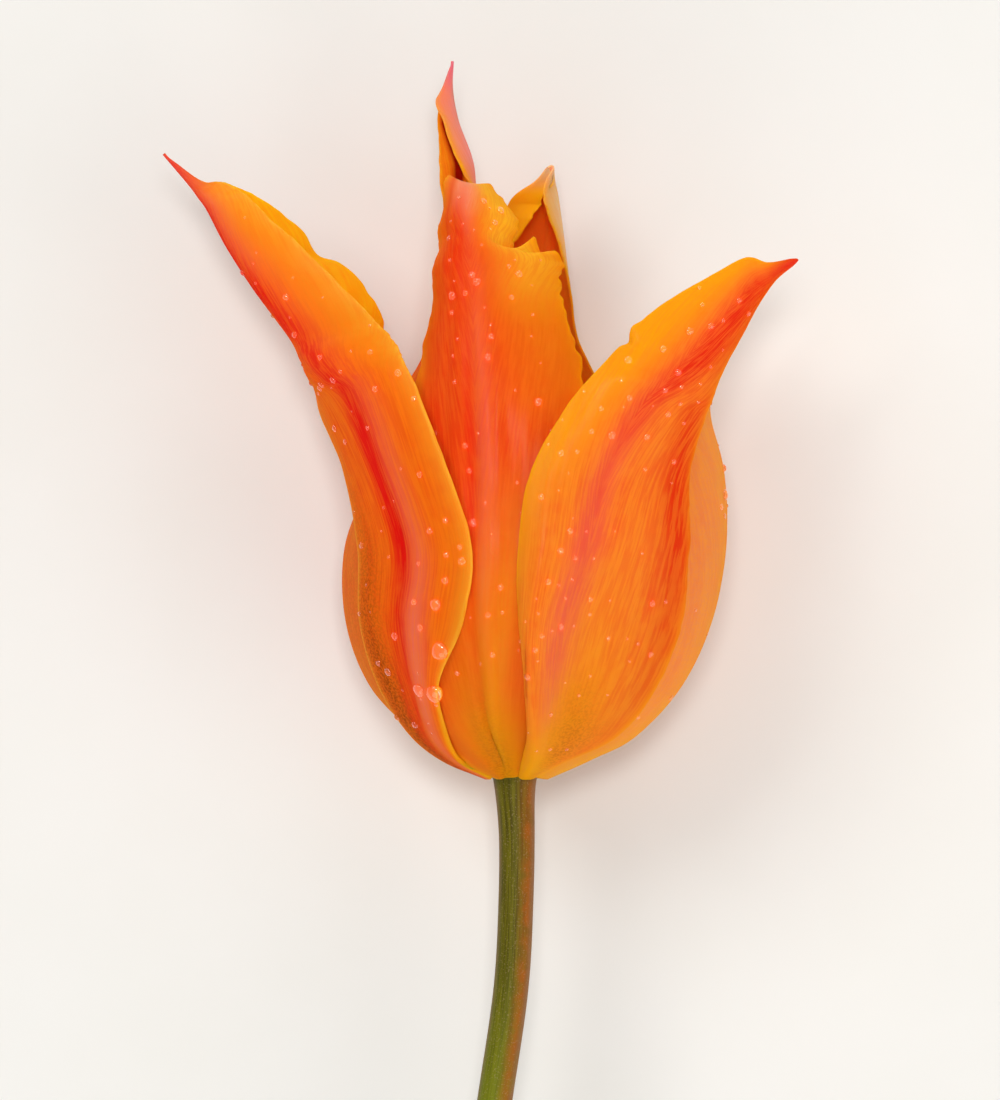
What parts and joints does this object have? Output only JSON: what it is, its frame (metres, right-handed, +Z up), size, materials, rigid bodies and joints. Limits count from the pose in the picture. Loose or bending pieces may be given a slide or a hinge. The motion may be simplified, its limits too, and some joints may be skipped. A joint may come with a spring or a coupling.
{
  "type": "lily-flowered tulip",
  "caption": "Cut lily-flowered tulip lying on a surface: pointed orange petals that flare from a slim cup, on a bare curved stem.",
  "frame": {"origin": "on the surface that the flower lies on, under the belly of the bloom, in the middle of the small flat where the outer back petal rests", "axes": "+Z up from the surface, towards the side of the bloom that the picture shows; +Y along the bloom from the stem to the petals' tips; +X to the right of the picture"},
  "size_m": [0.0702, 0.2497, 0.0423],
  "materials": {
    "petal_outer_left": "smooth petal skin, orange with a red stripe and yellow-orange margins, soft satin gloss",
    "petal_inner_front": "smooth petal skin, red-orange with a yellow-orange rib, soft satin gloss",
    "petal_outer_right": "smooth petal skin, orange with a pinkish stripe and yellow-orange margins, soft satin gloss",
    "petal_inner_right": "smooth petal skin, salmon orange with a thin yellow rim, soft satin gloss",
    "petal_outer_back": "smooth petal skin, orange with pinkish outer flanks, soft satin gloss",
    "petal_inner_left": "smooth petal skin, orange with a pink rolled tip, soft satin gloss",
    "stem": "smooth fleshy stem, olive green flushed rusty brown, satin",
    "pistil": "smooth fleshy ovary, pale green, under a cream stigma",
    "filament": "smooth fleshy stalk, pale yellow",
    "anther": "powdery pollen sac, dark brown, matt"
  },
  "bodies": {
    "root": {"tepal_outer_left": "petal_outer_left", "tepal_inner_front": "petal_inner_front", "tepal_outer_right": "petal_outer_right", "tepal_inner_right": "petal_inner_right", "tepal_outer_back": "petal_outer_back", "tepal_inner_left": "petal_inner_left", "stem": "stem", "pistil": "pistil", "filament_1": "filament", "filament_2": "filament", "filament_3": "filament", "filament_4": "filament", "filament_5": "filament", "filament_6": "filament", "anther_1": "anther", "anther_2": "anther", "anther_3": "anther", "anther_4": "anther", "anther_5": "anther", "anther_6": "anther"}
  },
  "joints": []
}
